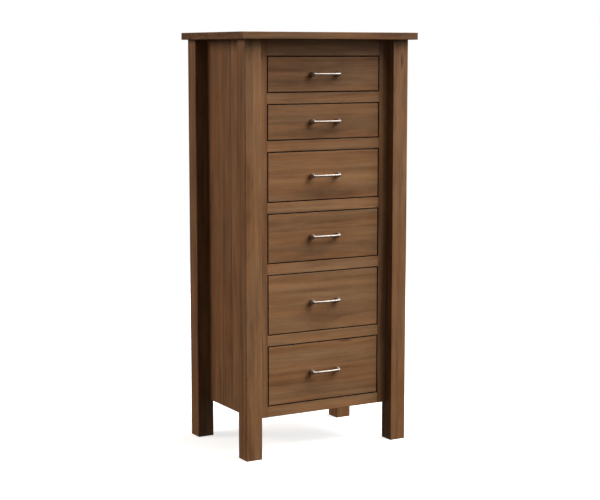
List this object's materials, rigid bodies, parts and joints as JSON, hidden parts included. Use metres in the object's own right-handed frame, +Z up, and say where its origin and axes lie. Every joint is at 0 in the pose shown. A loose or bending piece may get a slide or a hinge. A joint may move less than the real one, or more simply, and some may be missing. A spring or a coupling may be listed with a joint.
{
  "type": "tall chest of drawers",
  "caption": "Tall narrow chest with square full-height legs, recessed side panels and inset drawers on full-extension slides.",
  "frame": {"origin": "on the floor, under the middle of the box that holds the whole chest", "axes": "+Z up, -Y out of the drawer fronts, +X to the right as seen from the front"},
  "size_m": [0.651, 0.443, 1.372],
  "materials": {
    "stained_walnut": "dark brown stain under satin lacquer",
    "walnut_plywood": "dark brown stain, matt",
    "frame_maple": "planed, unstained",
    "drawer_maple": "clear satin lacquer",
    "birch_plywood": "sanded",
    "brushed_nickel": "brushed nickel plate",
    "zinc_steel": "bright zinc plate"
  },
  "bodies": {
    "case": {"top": "stained_walnut", "top_rail": "stained_walnut", "drawer_rails": "stained_walnut", "bottom_rail": "stained_walnut", "rear_rails": "stained_walnut", "back_panel": "walnut_plywood", "slide_battens": "frame_maple", "top_cleats": "frame_maple", "outer_slides": "zinc_steel", "case_screws": "zinc_steel", "front_left_leg": "stained_walnut", "rear_left_leg": "stained_walnut", "left_side_panel": "stained_walnut", "left_stile": "stained_walnut", "front_right_leg": "stained_walnut", "rear_right_leg": "stained_walnut", "right_side_panel": "stained_walnut", "right_stile": "stained_walnut"},
    "drawer_1": {"drawer_1_front": "stained_walnut", "drawer_1_sides": "drawer_maple", "drawer_1_back": "drawer_maple", "drawer_1_bottom": "birch_plywood", "drawer_1_handle": "brushed_nickel", "drawer_1_slide_members": "zinc_steel"},
    "drawer_2": {"drawer_2_front": "stained_walnut", "drawer_2_sides": "drawer_maple", "drawer_2_back": "drawer_maple", "drawer_2_bottom": "birch_plywood", "drawer_2_handle": "brushed_nickel", "drawer_2_slide_members": "zinc_steel"},
    "drawer_3": {"drawer_3_front": "stained_walnut", "drawer_3_sides": "drawer_maple", "drawer_3_back": "drawer_maple", "drawer_3_bottom": "birch_plywood", "drawer_3_handle": "brushed_nickel", "drawer_3_slide_members": "zinc_steel"},
    "drawer_4": {"drawer_4_front": "stained_walnut", "drawer_4_sides": "drawer_maple", "drawer_4_back": "drawer_maple", "drawer_4_bottom": "birch_plywood", "drawer_4_handle": "brushed_nickel", "drawer_4_slide_members": "zinc_steel"},
    "drawer_5": {"drawer_5_front": "stained_walnut", "drawer_5_sides": "drawer_maple", "drawer_5_back": "drawer_maple", "drawer_5_bottom": "birch_plywood", "drawer_5_handle": "brushed_nickel", "drawer_5_slide_members": "zinc_steel"},
    "drawer_6": {"drawer_6_front": "stained_walnut", "drawer_6_sides": "drawer_maple", "drawer_6_back": "drawer_maple", "drawer_6_bottom": "birch_plywood", "drawer_6_handle": "brushed_nickel", "drawer_6_slide_members": "zinc_steel"},
    "middle_1": {"drawer_1_middle_members": "zinc_steel"},
    "middle_2": {"drawer_2_middle_members": "zinc_steel"},
    "middle_3": {"drawer_3_middle_members": "zinc_steel"},
    "middle_4": {"drawer_4_middle_members": "zinc_steel"},
    "middle_5": {"drawer_5_middle_members": "zinc_steel"},
    "middle_6": {"drawer_6_middle_members": "zinc_steel"}
  },
  "joints": [
    {"name": "drawer_1_slide", "type": "slide", "parent": "case", "child": "drawer_1", "axis": [0, -1, 0], "range_m": [0, 0.3]},
    {"name": "drawer_2_slide", "type": "slide", "parent": "case", "child": "drawer_2", "axis": [0, -1, 0], "range_m": [0, 0.3]},
    {"name": "drawer_3_slide", "type": "slide", "parent": "case", "child": "drawer_3", "axis": [0, -1, 0], "range_m": [0, 0.3]},
    {"name": "drawer_4_slide", "type": "slide", "parent": "case", "child": "drawer_4", "axis": [0, -1, 0], "range_m": [0, 0.3]},
    {"name": "drawer_5_slide", "type": "slide", "parent": "case", "child": "drawer_5", "axis": [0, -1, 0], "range_m": [0, 0.3]},
    {"name": "drawer_6_slide", "type": "slide", "parent": "case", "child": "drawer_6", "axis": [0, -1, 0], "range_m": [0, 0.3]},
    {"name": "middle_1_slide", "type": "slide", "parent": "case", "child": "middle_1", "axis": [0, -1, 0], "range_m": [0, 0.15]},
    {"name": "middle_2_slide", "type": "slide", "parent": "case", "child": "middle_2", "axis": [0, -1, 0], "range_m": [0, 0.15]},
    {"name": "middle_3_slide", "type": "slide", "parent": "case", "child": "middle_3", "axis": [0, -1, 0], "range_m": [0, 0.15]},
    {"name": "middle_4_slide", "type": "slide", "parent": "case", "child": "middle_4", "axis": [0, -1, 0], "range_m": [0, 0.15]},
    {"name": "middle_5_slide", "type": "slide", "parent": "case", "child": "middle_5", "axis": [0, -1, 0], "range_m": [0, 0.15]},
    {"name": "middle_6_slide", "type": "slide", "parent": "case", "child": "middle_6", "axis": [0, -1, 0], "range_m": [0, 0.15]}
  ],
  "couplings": [
    {"joint": "middle_1_slide", "follows": "drawer_1_slide", "ratio": 0.5},
    {"joint": "middle_2_slide", "follows": "drawer_2_slide", "ratio": 0.5},
    {"joint": "middle_3_slide", "follows": "drawer_3_slide", "ratio": 0.5},
    {"joint": "middle_4_slide", "follows": "drawer_4_slide", "ratio": 0.5},
    {"joint": "middle_5_slide", "follows": "drawer_5_slide", "ratio": 0.5},
    {"joint": "middle_6_slide", "follows": "drawer_6_slide", "ratio": 0.5}
  ]
}
